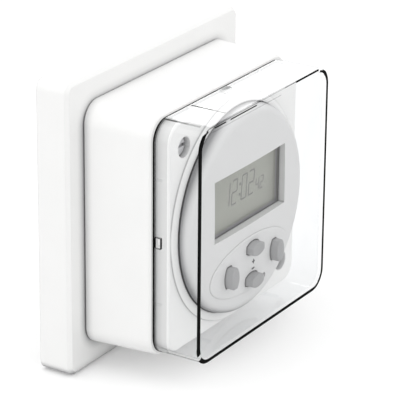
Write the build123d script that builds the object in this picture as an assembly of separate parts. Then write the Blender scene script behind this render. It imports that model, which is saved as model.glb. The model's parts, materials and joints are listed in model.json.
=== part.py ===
from build123d import *
from math import cos, pi, radians, sin
import os

os.makedirs("parts", exist_ok=True)

# Frame: X to the right and Z up as seen from the room, the wall at Y = 0.
# A depth is the distance out from the wall, so a depth of 10 lies at Y = -10.

# Rounds that nothing shows are prisms, with this many sides on the small and the large ones
hidden_sides = 8
large_hidden_sides = 26
chamfer_angle = 45.0

# Wall plate, a square moulded plate with a tray for the wiring
plate_side = 86.0
plate_depth = 10.2
plate_corner_radius = 3.0
plate_edge = 1.0
plate_wall = 2.2
plate_front_wall = 2.5
tray_floor = 2.2
tray_wall = 1.3
tray_corner = 3.0
lip_height = 1.6
lip_clearance = 0.25
rib_thickness = 1.4
rib_offset = 22.0
fixing_spacing = 60.3
fixing_hole_radius = 2.0
fixing_pocket_radius = 3.7
entry_width = 26.0
entry_height = 15.0
entry_corner_radius = 2.0
entry_z = -16.0

# Front housing, with the faceplate that stands out of it
housing_front_side = 70.2
housing_draft = 0.85
housing_depth = 21.2
housing_corner_radius = 6.0
housing_edge = 0.45
housing_wall = 2.0
shadow_gap = 0.4
shadow_gap_reach = 0.8
faceplate_step = 2.0
faceplate_height = 4.9
faceplate_corner_radius = 4.7
faceplate_edge = 0.3
faceplate_wall = 2.2
rim_margin = 0.4
rim_width = 2.3
rim_step = 0.35
rim_height = 0.95
catch_width = 2.0
catch_depth = 1.1
catch_height = 0.2

# Face screws in two opposite corners, and what they pass through
screw_side_inset = 7.0
screw_end_inset = 7.2
face_screw_radius = 1.75
face_screw_head_radius = 2.6
face_screw_head_height = 1.9
face_screw_slot_width = 0.9
face_screw_slot_depth = 0.9
face_screw_recess = 3.5
face_screw_recess_radius = 2.95
face_screw_clearance = 0.25
screw_tube_radius = 4.5
insert_radius = 2.6
insert_length = 8.0
boss_wall = 2.0
thread_clearance = 0.05

# Timer face, a round domed shell
timer_gap = 0.3
timer_seat = 0.9
timer_height = 5.3
timer_edge_round = 3.0
timer_edge_steps = 3
timer_wall = 2.0
timer_front_wall = 2.0
pad_half_width = 20.5
pad_half_height = 8.3
pad_z = -15.9
pad_height = 0.3

# Display
window_width = 37.3
window_height = 18.1
window_z = 5.15
lens_margin = 0.85
lens_thickness = 1.0
glass_margin = 0.4
glass_thickness = 2.0
holder_wall = 1.0
holder_clearance = 0.2
holder_ledge = 2.6
strip_height = 5.0
strip_thickness = 1.4
strip_inset = 2.2
strip_end_gap = 2.0

# Keys: barrel-shaped caps, long side first
key_length = 6.2
key_middle = 3.9
key_end = 1.9
key_corner = 0.4
key_stand = 2.5
key_edge = 0.5
key_gap = 0.25
key_flange_reach = 0.4
key_flange = 0.8
key_travel = 0.5
key_stem_radius = 1.5
key_centre_x = 0.7
key_centre_z = -16.2
key_reach_x = 12.1
key_reach_z = 4.85
body_gap = 0.3

# Tactile switches under the keys
switch_side = 6.0
switch_height = 3.4
switch_floor = 0.8
plunger_radius = 1.7
plunger_stand = 1.0
plunger_clearance = 0.08
reset_x = 7.8
reset_z = -22.6
reset_hole_radius = 0.9
reset_pin_radius = 0.65
reset_recess = 0.9
reset_switch_side = 3.0

# Timer module: case, board and what the board carries
case_clearance = 0.2
case_wall = 1.0
case_seat_clearance = 0.1
hook_reach = 0.8
hook_depth = 1.4
hook_width = 5.0
board_thickness = 1.6
board_clearance = 0.3
module_screw_radius = 1.1
module_screw_head_radius = 2.0
module_screw_head_height = 1.0
module_screw_grip = 4.5
module_post_radius = 2.3
case_post_radius = 2.9
case_post_gap = 0.5
upper_post_angle = 57.7
lower_post_angle = -27.9
screw_hole_clearance = 0.15
chip_side = 10.0
chip_height = 1.5
chip_x = -9.0
chip_z = 7.0
crystal_radius = 1.5
crystal_length = 8.0
crystal_x = 8.0
crystal_z = 5.5
battery_radius = 8.0
battery_thickness = 3.0
battery_x = -5.0
battery_z = -11.0
tab_thickness = 0.3
tab_width = 4.0
tab_foot = 2.5
battery_clearance = 1.8
link_pin_count = 5
link_pitch = 2.54
link_body_height = 2.4
link_pin_side = 0.7
link_x = 6.0
link_z = 13.5
link_gap = 0.6

# Power board and what it carries towards the wall
board_gap = 1.0
power_board_clearance = 0.5
power_post_radius = 2.2
power_post_gap = 0.3
power_screw_radius = 1.1
power_screw_head_radius = 2.0
power_screw_head_height = 1.3
power_screw_grip = 5.0
relay_length = 28.8
relay_width = 12.7
relay_floor_gap = 2.6
relay_corner = 0.6
relay_x = 9.5
relay_z = 20.6
relay_foot = 0.5
relay_foot_inset = 2.0
dropper_length = 18.0
dropper_width = 7.0
dropper_floor_gap = 4.3
dropper_corner = 0.8
dropper_clearance = 1.7
dropper_z = 16.0
smoothing_radius = 4.0
smoothing_floor_gap = 5.8
smoothing_groove = 0.3
smoothing_groove_depth = 1.2
smoothing_x = -24.0
smoothing_z = -15.0
smoothing_pitch = 10.0
limiter_radius = 4.5
limiter_thickness = 4.0
limiter_lead = 1.5
limiter_lead_side = 0.8
limiter_x = 21.5
limiter_z = -9.0
fuse_radius = 4.2
fuse_height = 8.0
fuse_x = 19.0
fuse_z = -17.5

# Terminals on the floor of the tray
way_count = 4
way_pitch = 9.5
terminal_height = 15.0
terminal_depth = 11.0
terminal_z = 2.5
terminal_corner = 0.8
ear_width = 6.0
ear_height = 7.0
ear_thickness = 2.5
ear_boss_height = 4.0
ear_boss_radius = 2.6
ear_screw_radius = 1.2
ear_screw_head_radius = 2.3
ear_screw_head_height = 1.3
cage_width = 6.2
cage_height = 5.6
cage_depth = 6.0
cage_wall = 1.1
cage_floor = 1.2
cage_clearance = 0.15
cage_z = -0.4
wire_hole_radius = 2.1
terminal_screw_radius = 1.4
terminal_screw_head_radius = 1.9
terminal_screw_head_height = 1.6
terminal_screw_lift = 1.0
terminal_screw_bite = 1.0
screwdriver_clearance = 0.2
blade_width = 5.0
blade_thickness = 0.8
blade_z = 7.2
blade_clearance = 0.2

# Clear cover, snapped over the faceplate
cover_inset = 0.7
cover_corner_radius = 6.0
cover_edge = 0.8
cover_wall = 1.0
cover_pane = 1.2
cover_seat_gap = 0.2
cover_clearance = 0.6
catch_window_width = 3.2
catch_window_depth = 2.0
catch_window_offset = 0.5
guide_rib_offset = 18.2
guide_rib_width = 0.7
guide_rib_height = 0.2
guide_rib_length = 9.0
side_rib_length = 2.4

# Depths that follow from the sizes above
housing_front = plate_depth + housing_depth
faceplate_front = housing_front + faceplate_height
faceplate_inner = faceplate_front - faceplate_wall
timer_front = faceplate_front + timer_height
timer_inner = timer_front - timer_front_wall
timer_back = faceplate_front - timer_seat
screw_seat = faceplate_front - face_screw_recess
glass_front = timer_inner - lens_thickness
glass_back = glass_front - glass_thickness
control_board_front = glass_back - strip_height
control_board_depth = control_board_front - board_thickness
battery_back = control_board_depth - 2 * tab_thickness - battery_thickness
case_back_depth = battery_back - battery_clearance - case_wall
power_board_front = case_back_depth - module_screw_head_height - board_gap
power_board_depth = power_board_front - board_thickness
key_front = timer_front + pad_height + key_stand
key_flange_front = timer_inner - body_gap
key_flange_back = key_flange_front - key_flange
plunger_front = control_board_front + switch_height + plunger_stand
boss_top = tray_floor + insert_length + boss_wall
terminal_front = tray_floor + terminal_depth
cover_back = housing_front + cover_seat_gap
cover_pane_back = key_front + cover_clearance
cover_front = cover_pane_back + cover_pane

# Widths that follow from the sizes above
housing_back_side = housing_front_side + 2 * housing_draft
housing_inner_side = housing_front_side - 2 * housing_wall
lip_side = housing_inner_side - 2 * lip_clearance
tray_side = lip_side - 2 * tray_wall
faceplate_side = housing_front_side - 2 * faceplate_step
rim_outer_radius = faceplate_side / 2 - rim_margin
rim_inner_radius = rim_outer_radius - rim_width
timer_radius = rim_inner_radius - timer_gap
timer_inner_radius = timer_radius - timer_wall
case_radius = timer_inner_radius - case_clearance
case_hole_radius = case_radius + body_gap
case_inner_radius = case_radius - case_wall
control_board_radius = case_inner_radius - board_clearance
case_post_reach = case_inner_radius - case_post_radius - case_post_gap
power_post_reach = housing_inner_side / 2 - power_post_radius - power_post_gap
screw_x = faceplate_side / 2 - screw_side_inset
screw_z = faceplate_side / 2 - screw_end_inset
glass_width = window_width + 2 * glass_margin
glass_height = window_height + 2 * glass_margin
holder_width = glass_width + 2 * (holder_clearance + holder_wall)
holder_height = glass_height + 2 * (holder_clearance + holder_wall)
terminal_width = way_count * way_pitch
cover_side = housing_front_side - 2 * cover_inset
cover_inner_side = cover_side - 2 * cover_wall

# Places that repeat
face_screw_places = [(-screw_x, screw_z), (screw_x, -screw_z)]
fixing_places = [(-fixing_spacing / 2, 0), (fixing_spacing / 2, 0)]
module_post_places = [
    (sign * case_post_reach * cos(radians(angle)), case_post_reach * sin(radians(angle)))
    for angle in (upper_post_angle, lower_post_angle)
    for sign in (-1, 1)
]
power_post_places = [
    (-power_post_reach, 0),
    (power_post_reach, 0),
    (0, -power_post_reach),
    (0, power_post_reach),
]
key_places = {
    "left": (key_centre_x - key_reach_x, key_centre_z),
    "right": (key_centre_x + key_reach_x, key_centre_z),
    "upper": (key_centre_x, key_centre_z + key_reach_z),
    "lower": (key_centre_x, key_centre_z - key_reach_z),
}
upright_keys = ("left", "right")
way_places = [(i - (way_count - 1) / 2) * way_pitch for i in range(way_count)]
ear_places = [-(terminal_width + ear_width) / 2, (terminal_width + ear_width) / 2]
smoothing_places = [
    (smoothing_x, smoothing_z - smoothing_pitch / 2),
    (smoothing_x, smoothing_z + smoothing_pitch / 2),
]
quarter_turns = [0, 90, 180, 270]


def at(depth, x=0, z=0):
    """A sketch plane that faces the room, at a depth in front of the wall."""
    return Plane(origin=(x, -depth, z), x_dir=(1, 0, 0), z_dir=(0, -1, 0))


def block(width, height, back, front, x=0, z=0, radius=0, cut=0):
    """A block between two depths, its long edges rounded by a radius or cut off flat."""
    outline = RectangleRounded(width, height, radius) if radius else Rectangle(width, height)
    if cut:
        outline = chamfer(outline.vertices(), cut)
    return extrude(at(back, x, z) * outline, amount=front - back)


def rod(radius, back, front, x=0, z=0, sides=0):
    """A bar between two depths, round or with a number of sides."""
    outline = RegularPolygon(radius, sides) if sides else Circle(radius)
    return extrude(at(back, x, z) * outline, amount=front - back)


def rods(radius, back, front, places, sides=hidden_sides):
    """The same bar at each place."""
    return Part() + [rod(radius, back, front, x, z, sides) for x, z in places]


def front_edges(body):
    """The edges of the face nearest the room."""
    return body.faces().sort_by(Axis.Y)[0].edges()


def turned(body):
    """A body repeated on the four sides of the square."""
    return Part() + [Rot(0, angle, 0) * body for angle in quarter_turns]


def wall_plate():
    """The square plate, hollow behind its skirt, with a tray inside the housing."""
    body = block(plate_side, plate_side, 0, plate_depth, radius=plate_corner_radius)
    body = chamfer(front_edges(body), plate_edge)
    inner_side = plate_side - 2 * plate_wall
    hollow_front = plate_depth - plate_front_wall
    hollow = block(inner_side, inner_side, 0, hollow_front, cut=plate_corner_radius / 2)
    core = block(lip_side, lip_side, 0, hollow_front, cut=tray_corner)
    core += rods(fixing_pocket_radius + tray_wall, 0, hollow_front, fixing_places, sides=0)
    rib_length = (inner_side - lip_side) / 2
    rib_reach = (inner_side + lip_side) / 4
    rib = Part() + [
        block(rib_thickness, rib_length, 0, hollow_front, x, rib_reach) for x in (-rib_offset, rib_offset)
    ]
    body -= hollow - core - turned(rib)
    lip_front = plate_depth + lip_height
    body += block(lip_side, lip_side, plate_depth, lip_front, cut=tray_corner)
    tray = block(tray_side, tray_side, tray_floor, lip_front, cut=tray_corner)
    tray += rods(fixing_pocket_radius, tray_floor, lip_front, fixing_places, sides=0)
    body -= tray
    body += rods(insert_radius + boss_wall, tray_floor, boss_top, face_screw_places)
    body -= rods(insert_radius, boss_top - insert_length, boss_top, face_screw_places)
    ears = [(x, terminal_z) for x in ear_places]
    body += rods(ear_boss_radius, tray_floor, tray_floor + ear_boss_height, ears)
    body -= rods(ear_screw_radius, tray_floor, tray_floor + ear_boss_height, ears)
    body -= rods(fixing_hole_radius, 0, tray_floor, fixing_places, sides=0)
    entry = block(entry_width, entry_height, 0, tray_floor, z=entry_z, radius=entry_corner_radius)
    return body - entry


def rim():
    """The ring round the timer, with a step at its outer edge and a slope up to its inner one."""
    back = -faceplate_front
    outline = Polyline(
        (rim_inner_radius, back),
        (rim_outer_radius, back),
        (rim_outer_radius, back - rim_step),
        (rim_inner_radius, back - rim_height),
        close=True,
    )
    return revolve(make_face(outline), Axis.Y)


def front_housing():
    """The tapered square housing and its faceplate, one open-backed moulding."""
    back = RectangleRounded(housing_back_side, housing_back_side, housing_corner_radius)
    front = RectangleRounded(housing_front_side, housing_front_side, housing_corner_radius)
    edge_back = housing_front - housing_edge
    body = loft([at(plate_depth) * back, at(edge_back) * front])
    body += extrude(at(edge_back) * front, amount=housing_edge, taper=chamfer_angle)
    gap_side = housing_back_side - 2 * shadow_gap_reach
    gap_front = plate_depth + shadow_gap
    gap_corner = housing_corner_radius - shadow_gap_reach
    gap = block(plate_side, plate_side, plate_depth, gap_front)
    body -= gap - block(gap_side, gap_side, plate_depth, gap_front, radius=gap_corner)
    ledge_back = housing_front - housing_wall
    inner_corner = housing_corner_radius - housing_wall
    body -= block(housing_inner_side, housing_inner_side, plate_depth, ledge_back, radius=inner_corner)
    plate = block(
        faceplate_side, faceplate_side, housing_front, faceplate_front, radius=faceplate_corner_radius
    )
    body += chamfer(front_edges(plate), faceplate_edge)
    step_side = faceplate_side - 2 * faceplate_wall
    step_corner = faceplate_corner_radius - faceplate_wall
    body -= block(step_side, step_side, ledge_back, faceplate_inner, radius=step_corner)
    body += rim()
    body -= rod(rim_inner_radius, timer_back, faceplate_front + rim_height)
    body += rods(power_post_radius, power_board_front, faceplate_inner, power_post_places)
    grip_end = power_board_front + power_screw_grip
    body -= rods(power_screw_radius, power_board_front, grip_end, power_post_places)
    body += rods(screw_tube_radius, boss_top, faceplate_inner, face_screw_places)
    shank_hole = face_screw_radius + face_screw_clearance
    body -= rods(shank_hole, boss_top, screw_seat, face_screw_places)
    body -= rods(face_screw_recess_radius, screw_seat, faceplate_front, face_screw_places, sides=0)
    body -= rod(case_hole_radius, faceplate_inner, timer_back, sides=large_hidden_sides)
    catch_back = cover_back + catch_window_offset + (catch_window_depth - catch_depth) / 2
    catch = block(catch_width, catch_height, catch_back, catch_back + catch_depth)
    catch = Pos(0, 0, (faceplate_side + catch_height) / 2) * catch
    return body + turned(catch)


def timer_blank():
    """The solid form of the timer face, its front edge rounded in steps."""
    centre = timer_front - timer_edge_round
    flat = timer_radius - timer_edge_round
    turns = [i * pi / 2 / timer_edge_steps for i in range(timer_edge_steps + 1)]
    edge = [
        (flat + timer_edge_round * cos(turn), -centre - timer_edge_round * sin(turn)) for turn in turns
    ]
    back = [(0, -timer_front), (0, -timer_back), (timer_radius, -timer_back)]
    return revolve(make_face(Polyline(*back, *edge, close=True)), Axis.Y)


def barrel(length, middle, end):
    """A flat outline with straight short ends and bowed long sides."""
    half = length / 2
    sides = [
        Line((-half, end / 2), (-half, -end / 2)),
        ThreePointArc((-half, -end / 2), (0, -middle / 2), (half, -end / 2)),
        Line((half, -end / 2), (half, end / 2)),
        ThreePointArc((half, end / 2), (0, middle / 2), (-half, end / 2)),
    ]
    return make_face(sides)


def key_plan(name, grow=0):
    """A key's outline on the board, upright for the two side keys, grown all round."""
    plan = barrel(key_length + 2 * grow, key_middle + 2 * grow, key_end + 2 * grow)
    plan = chamfer(plan.vertices(), key_corner)
    return Rot(0, 0, 90) * plan if name in upright_keys else plan


def timer_face():
    """The round front of the timer module, with its window, pad and key openings."""
    body = timer_blank()
    pad = at(timer_front, z=pad_z) * Ellipse(pad_half_width, pad_half_height)
    body += extrude(pad, amount=pad_height)
    body -= rod(timer_inner_radius, timer_back, timer_inner, sides=large_hidden_sides)
    body -= block(window_width, window_height, timer_inner, timer_front, z=window_z)
    pad_front = timer_front + pad_height
    for name, (x, z) in key_places.items():
        body -= extrude(at(timer_inner, x, z) * key_plan(name, key_gap), amount=pad_front - timer_inner)
    body -= rod(reset_hole_radius, timer_inner, pad_front, reset_x, reset_z)
    body += rods(module_post_radius, control_board_front, timer_inner, module_post_places)
    grip_end = control_board_front + module_screw_grip
    return body - rods(module_screw_radius, control_board_front, grip_end, module_post_places)


def display_lens():
    """The clear pane behind the window."""
    width = window_width + 2 * lens_margin
    height = window_height + 2 * lens_margin
    return block(width, height, glass_front, timer_inner, z=window_z)


def display_glass():
    """The liquid-crystal cell."""
    return block(glass_width, glass_height, glass_back, glass_front, z=window_z)


def strip_place():
    """How far each contact strip lies above or below the middle of the display."""
    return glass_height / 2 - strip_inset


def display_holder():
    """The frame that holds the cell and the two contact strips on the board."""
    body = block(holder_width, holder_height, control_board_front, glass_front, z=window_z)
    pocket_width = glass_width + 2 * holder_clearance
    pocket_height = glass_height + 2 * holder_clearance
    body -= block(pocket_width, pocket_height, glass_back, glass_front, z=window_z)
    slot_side = strip_thickness + 2 * holder_clearance
    slot_length = glass_width - strip_end_gap
    for sign in (-1, 1):
        z = window_z + sign * strip_place()
        body -= block(slot_length, slot_side, control_board_front, glass_back, z=z)
    hollow_width = glass_width - 2 * holder_ledge
    hollow_height = 2 * (strip_place() - slot_side / 2 - holder_wall)
    return body - block(hollow_width, hollow_height, control_board_front, glass_back, z=window_z)


def contact_strips():
    """Two rubber strips between the cell and the board."""
    length = glass_width - strip_end_gap - 2 * holder_clearance
    return Part() + [
        block(length, strip_thickness, control_board_front, glass_back, z=window_z + sign * strip_place())
        for sign in (-1, 1)
    ]


def key_cap(name):
    """A key cap with the flange that keeps it behind the face and its stem."""
    x, z = key_places[name]
    cap = extrude(at(key_flange_front, x, z) * key_plan(name), amount=key_front - key_flange_front)
    cap = chamfer(front_edges(cap), key_edge)
    grow = 2 * (key_gap + key_flange_reach)
    flange = block(key_length + grow, key_middle + grow, key_flange_back, key_flange_front)
    if name in upright_keys:
        flange = Rot(0, 90, 0) * flange
    cap += Pos(x, 0, z) * flange
    return cap + rod(key_stem_radius, plunger_front, key_flange_back, x, z, hidden_sides)


def key_plunger(name):
    """The plunger of the switch under a key."""
    x, z = key_places[name]
    back = control_board_front + switch_floor + key_travel + body_gap
    return rod(plunger_radius, back, plunger_front, x, z, hidden_sides)


def key_switches():
    """The fixed bodies of the five tactile switches."""
    top = control_board_front + switch_height
    floor = control_board_front + switch_floor
    bodies = []
    for x, z in key_places.values():
        body = block(switch_side, switch_side, control_board_front, top, x, z)
        bodies.append(body - rod(plunger_radius + plunger_clearance, floor, top, x, z, hidden_sides))
    body = block(reset_switch_side, reset_switch_side, control_board_front, top, reset_x, reset_z)
    pin_hole = reset_pin_radius + plunger_clearance
    bodies.append(body - rod(pin_hole, floor, top, reset_x, reset_z, hidden_sides))
    return Part() + bodies


def reset_button():
    """The pin that is pushed through the reset hole."""
    back = control_board_front + switch_floor + key_travel + body_gap
    return rod(reset_pin_radius, back, timer_front - reset_recess, reset_x, reset_z, hidden_sides)


def control_board():
    """The round board of the timer module."""
    body = rod(control_board_radius, control_board_depth, control_board_front, sides=large_hidden_sides)
    hole = module_screw_radius + screw_hole_clearance
    return body - rods(hole, control_board_depth, control_board_front, module_post_places)


def module_case():
    """The round cup that closes the timer module, held by four snap hooks."""
    body = rod(case_radius, case_back_depth, timer_inner, sides=large_hidden_sides)
    floor = case_back_depth + case_wall
    body -= rod(case_inner_radius, floor, timer_inner, sides=large_hidden_sides)
    body += rods(case_post_radius, floor, control_board_depth, module_post_places)
    hole = module_screw_radius + screw_hole_clearance
    body -= rods(hole, case_back_depth, control_board_depth, module_post_places)
    body -= block(
        link_pin_count * link_pitch + 2 * link_gap,
        link_pitch + 2 * link_gap,
        case_back_depth,
        floor,
        link_x,
        link_z,
    )
    hook_front = faceplate_inner - case_seat_clearance
    hook_back = hook_front - hook_depth
    inside = case_radius - case_wall / 2
    outside = case_hole_radius + hook_reach
    hook = block(hook_width, outside - inside, hook_back, hook_front, z=(inside + outside) / 2)
    outer_edge = hook.edges().filter_by(Axis.X).sort_by(Axis.Z)[-2:].sort_by(Axis.Y)[-1]
    hook = chamfer(outer_edge, hook_reach)
    return body + Part() + [Rot(0, angle + 45, 0) * hook for angle in quarter_turns]


def module_screws():
    """Four screws that clamp case, board and face from behind."""
    end = control_board_front + module_screw_grip
    head_back = case_back_depth - module_screw_head_height
    shank = module_screw_radius - thread_clearance
    bodies = rods(module_screw_head_radius, head_back, case_back_depth, module_post_places)
    return bodies + rods(shank, case_back_depth, end, module_post_places)


def controller_chip():
    """The controller on the back of the control board."""
    back = control_board_depth - chip_height
    return block(chip_side, chip_side, back, control_board_depth, chip_x, chip_z)


def clock_crystal():
    """The can of the clock crystal, lying on the back of the control board."""
    centre = (crystal_x - crystal_length / 2, crystal_radius - control_board_depth, crystal_z)
    outline = Plane(origin=centre, z_dir=(1, 0, 0)) * RegularPolygon(crystal_radius, hidden_sides)
    return extrude(outline, amount=crystal_length)


def backup_battery():
    """The button cell that keeps the time in a power cut."""
    back = battery_back + tab_thickness
    front = back + battery_thickness
    return rod(battery_radius, back, front, battery_x, battery_z, large_hidden_sides)


def battery_clip():
    """The two metal tabs of the cell, one under it and one over it."""
    front_tab = block(
        2 * battery_radius + tab_foot,
        tab_width,
        control_board_depth - tab_thickness,
        control_board_depth,
        battery_x - tab_foot / 2,
        battery_z,
    )
    strap_x = battery_x + (battery_radius + tab_foot) / 2
    strap_front = battery_back + tab_thickness
    strap = block(battery_radius + tab_foot, tab_width, battery_back, strap_front, strap_x, battery_z)
    leg_x = battery_x + battery_radius + tab_foot - tab_thickness / 2
    leg = block(tab_thickness, tab_width, battery_back, control_board_depth, leg_x, battery_z)
    return front_tab + strap + leg


def board_link():
    """The pin row between the two boards."""
    width = link_pin_count * link_pitch
    back = control_board_depth - link_body_height
    body = block(width, link_pitch, back, control_board_depth, link_x, link_z)
    for i in range(link_pin_count):
        x = link_x + (i - (link_pin_count - 1) / 2) * link_pitch
        body += block(link_pin_side, link_pin_side, power_board_front, back, x, link_z)
    return body


def power_board():
    """The square board, notched round the two screw tubes."""
    side = housing_inner_side - 2 * power_board_clearance
    corner = housing_corner_radius - housing_wall
    body = block(side, side, power_board_depth, power_board_front, radius=corner)
    notch = side / 2 - min(screw_x, screw_z) + screw_tube_radius + power_board_clearance
    place = (side - notch) / 2
    for sign in (-1, 1):
        body -= block(notch, notch, power_board_depth, power_board_front, -sign * place, sign * place)
    hole = power_screw_radius + screw_hole_clearance
    return body - rods(hole, power_board_depth, power_board_front, power_post_places)


def power_board_screws():
    """Four screws that hold the power board to the housing's posts."""
    end = power_board_front + power_screw_grip
    head_back = power_board_depth - power_screw_head_height
    shank = power_screw_radius - thread_clearance
    bodies = rods(power_screw_head_radius, head_back, power_board_depth, power_post_places)
    return bodies + rods(shank, power_board_depth, end, power_post_places)


def relay():
    """The switching relay, on a small foot."""
    body_front = power_board_depth - relay_foot
    back = tray_floor + relay_floor_gap
    body = block(relay_length, relay_width, back, body_front, relay_x, relay_z)
    body = chamfer(body.faces().sort_by(Axis.Y)[-1].edges(), relay_corner)
    foot_length = relay_length - 2 * relay_foot_inset
    foot_width = relay_width - 2 * relay_foot_inset
    return body + block(foot_length, foot_width, body_front, power_board_depth, relay_x, relay_z)


def dropper_capacitor():
    """The boxed film capacitor, beside the relay."""
    back = tray_floor + dropper_floor_gap
    x = relay_x - relay_length / 2 - dropper_clearance - dropper_length / 2
    body = block(dropper_length, dropper_width, back, power_board_depth, x, dropper_z)
    return chamfer(body.faces().sort_by(Axis.Y)[-1].edges(), dropper_corner)


def smoothing_capacitors():
    """Two round cans, each with its rolled groove near the board."""
    back = tray_floor + smoothing_floor_gap
    cans = rods(smoothing_radius, back, power_board_depth, smoothing_places)
    groove_back = power_board_depth - 2 * smoothing_groove_depth
    groove_front = power_board_depth - smoothing_groove_depth
    ring = rods(smoothing_radius, groove_back, groove_front, smoothing_places)
    ring -= rods(smoothing_radius - smoothing_groove, groove_back, groove_front, smoothing_places)
    return cans - ring


def surge_limiter():
    """A disc that stands on edge on two short leads."""
    depth = power_board_depth - limiter_lead - limiter_radius
    start = (limiter_x, -depth, limiter_z - limiter_thickness / 2)
    outline = RegularPolygon(limiter_radius, large_hidden_sides)
    body = extrude(Plane(origin=start) * outline, amount=limiter_thickness)
    for sign in (-1, 1):
        body += block(
            limiter_lead_side,
            limiter_lead_side,
            depth,
            power_board_depth,
            limiter_x + sign * limiter_radius / 2,
            limiter_z,
        )
    return body


def fuse():
    """The round plug-in fuse."""
    back = power_board_depth - fuse_height
    return rod(fuse_radius, back, power_board_depth, fuse_x, fuse_z, large_hidden_sides)


def cage_back():
    """The depth of the back of a terminal cage."""
    return tray_floor + cage_floor


def blade_back():
    """The depth at which a blade meets the tail of its cage."""
    return cage_back() + cage_depth / 2 + blade_thickness / 2


def contact_blades():
    """Four blades from the power board into the terminals."""
    return Part() + [
        block(blade_width, blade_thickness, blade_back(), power_board_depth, x, blade_z)
        for x in way_places
    ]


def terminal_block():
    """The four-way terminal body on the floor of the tray."""
    body = block(
        terminal_width,
        terminal_height,
        tray_floor,
        terminal_front,
        z=terminal_z,
        cut=terminal_corner,
    )
    ear_back = tray_floor + ear_boss_height
    ear_front = ear_back + ear_thickness
    for x in ear_places:
        body += block(ear_width, ear_height, ear_back, ear_front, x, terminal_z)
        ear_hole = ear_screw_radius + screw_hole_clearance
        body -= rod(ear_hole, ear_back, ear_front, x, terminal_z, hidden_sides)
    chamber_width = cage_width + 2 * cage_clearance
    chamber_height = cage_height + 2 * cage_clearance
    bottom_z = terminal_z - terminal_height / 2
    slot_width = blade_width + 2 * blade_clearance
    slot_height = blade_thickness + 2 * blade_clearance
    cage_front = cage_back() + cage_depth
    tail_top = blade_z + slot_height / 2
    wire_depth = cage_back() + cage_depth / 2
    for x in way_places:
        body -= block(chamber_width, chamber_height, cage_back(), cage_front, x, cage_z)
        access = terminal_screw_head_radius + screwdriver_clearance
        body -= rod(access, cage_front, terminal_front, x, cage_z, hidden_sides)
        body -= block(slot_width, slot_height, blade_back(), terminal_front, x, blade_z)
        tail_back = blade_back() - blade_thickness
        tail_height = tail_top - cage_z
        body -= block(slot_width, tail_height, tail_back, blade_back(), x, cage_z + tail_height / 2)
        wire = Plane(origin=(x, -wire_depth, bottom_z)) * RegularPolygon(wire_hole_radius, hidden_sides)
        body -= extrude(wire, amount=cage_z - bottom_z)
    return body


def terminal_cages():
    """Four brass cages, each with a tail that meets its blade."""
    cages = []
    back = cage_back()
    front = back + cage_depth
    for x in way_places:
        cage = block(cage_width, cage_height, back, front, x, cage_z)
        cage -= block(
            cage_width - 2 * cage_wall, cage_height, back + cage_wall, front - cage_wall, x, cage_z
        )
        hole = terminal_screw_radius + thread_clearance
        cage -= rod(hole, front - cage_wall, front, x, cage_z, hidden_sides)
        top = cage_z + cage_height / 2
        tail_height = blade_z + blade_thickness / 2 - top + cage_wall
        tail_z = top - cage_wall + tail_height / 2
        tail = block(blade_width, tail_height, blade_back() - blade_thickness, blade_back(), x, tail_z)
        side = (cage_width - cage_wall) / 2
        for sign in (-1, 1):
            tail += block(cage_wall, cage_wall, back, front, x + sign * side, top - cage_wall / 2)
        bridge = block(
            cage_width,
            cage_wall,
            blade_back() - blade_thickness,
            blade_back(),
            x,
            top - cage_wall / 2,
        )
        cages.append(cage + tail + bridge)
    return Part() + cages


def terminal_screws():
    """The four clamping screws of the terminals."""
    cage_front = cage_back() + cage_depth
    head_back = cage_front + terminal_screw_lift
    head_front = head_back + terminal_screw_head_height
    shank_back = cage_front - cage_wall - terminal_screw_bite
    places = [(x, cage_z) for x in way_places]
    bodies = rods(terminal_screw_radius, shank_back, head_back, places)
    return bodies + rods(terminal_screw_head_radius, head_back, head_front, places)


def terminal_block_screws():
    """Two screws through the ears of the terminal block."""
    places = [(x, terminal_z) for x in ear_places]
    ear_front = tray_floor + ear_boss_height + ear_thickness
    shank = ear_screw_radius - thread_clearance
    bodies = rods(shank, tray_floor, ear_front, places)
    return bodies + rods(ear_screw_head_radius, ear_front, ear_front + ear_screw_head_height, places)


def threaded_inserts():
    """Two brass inserts in the bosses of the wall plate."""
    bodies = rods(insert_radius, boss_top - insert_length, boss_top, face_screw_places)
    bore = face_screw_radius + thread_clearance
    return bodies - rods(bore, boss_top - insert_length, boss_top, face_screw_places)


def face_screws():
    """Two long screws with slotted heads, sunk in the corners of the faceplate."""
    end = boss_top - insert_length
    head_front = screw_seat + face_screw_head_height
    screws = []
    for x, z in face_screw_places:
        head = rod(face_screw_head_radius, screw_seat, head_front, x, z)
        slot_back = head_front - face_screw_slot_depth
        head -= block(2 * face_screw_head_radius, face_screw_slot_width, slot_back, head_front, x, z)
        screws.append(head + rod(face_screw_radius, end, screw_seat, x, z, hidden_sides))
    return Part() + screws


def clear_cover():
    """The transparent cover, with catch windows and guide ribs half-way along its sides."""
    body = block(cover_side, cover_side, cover_back, cover_front, radius=cover_corner_radius)
    body = chamfer(front_edges(body), cover_edge)
    inner_corner = cover_corner_radius - cover_wall
    body -= block(cover_inner_side, cover_inner_side, cover_back, cover_pane_back, radius=inner_corner)
    window_back = cover_back + catch_window_offset
    wall_middle = (cover_side - cover_wall) / 2
    window = block(catch_window_width, cover_wall, window_back, window_back + catch_window_depth)
    body -= turned(Pos(0, 0, wall_middle) * window)
    rib_reach = (cover_inner_side - guide_rib_height) / 2
    for side in (-1, 1):
        for offset in (-guide_rib_offset, guide_rib_offset):
            front = cover_back + guide_rib_length
            body += block(guide_rib_width, guide_rib_height, cover_back, front, offset, side * rib_reach)
            front = cover_back + side_rib_length
            body += block(guide_rib_height, guide_rib_width, cover_back, front, side * rib_reach, offset)
    return body


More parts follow.
